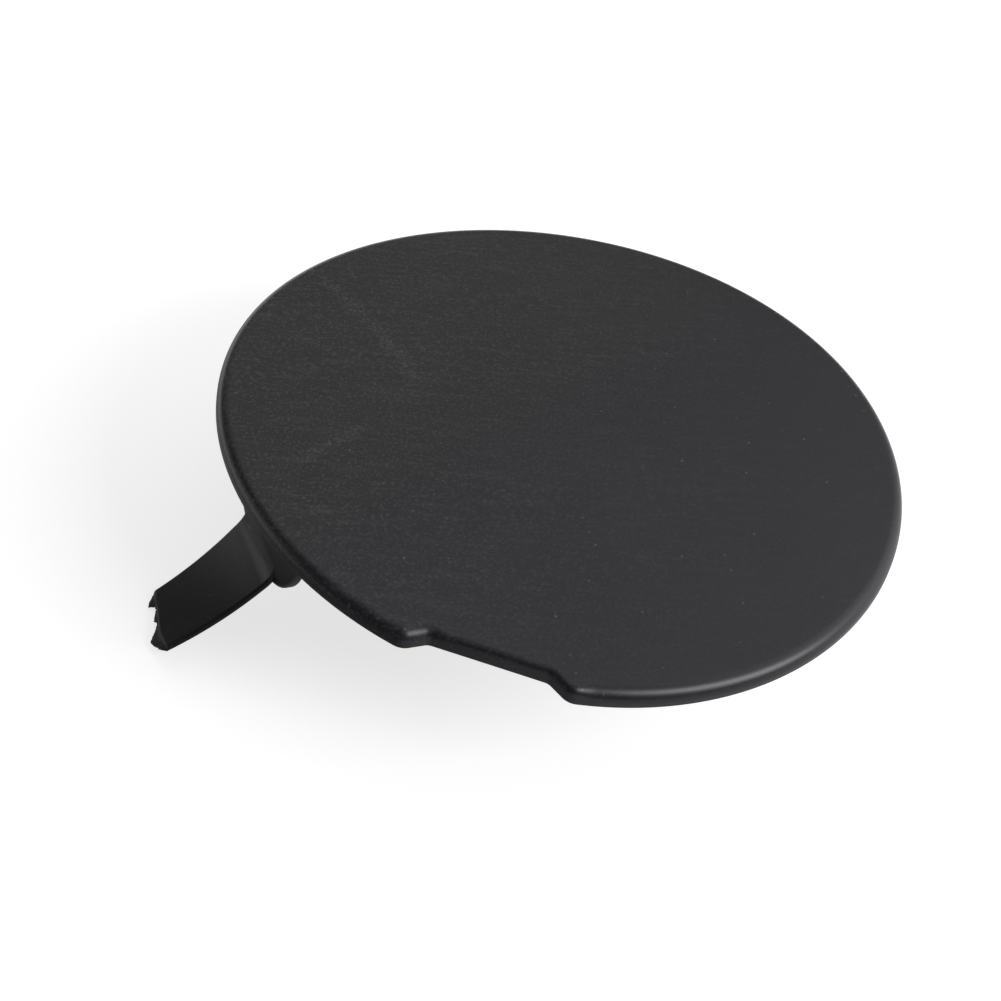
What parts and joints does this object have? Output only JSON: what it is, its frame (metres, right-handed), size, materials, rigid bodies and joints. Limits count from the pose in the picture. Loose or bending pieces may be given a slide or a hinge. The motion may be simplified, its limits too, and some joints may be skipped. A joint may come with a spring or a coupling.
{
  "type": "tow hook cover",
  "caption": "Round bent plastic cover with a pry notch, locating ring, snap hooks and a torn tether, closing a towing eye opening.",
  "frame": {"origin": "on the axis of the locating ring, in the seat plane through the lowest edges of the cap", "axes": "+Z out of the visible face, away from the vehicle; +X along the ridge of the bend, away from the tether; +Y away from the pry notch's side"},
  "size_m": [0.0874, 0.08, 0.0245],
  "materials": {
    "black_plastic": "unpainted moulded black, fine matte grain with a soft sheen"
  },
  "bodies": {
    "root": {"cover": "black_plastic"}
  },
  "joints": []
}
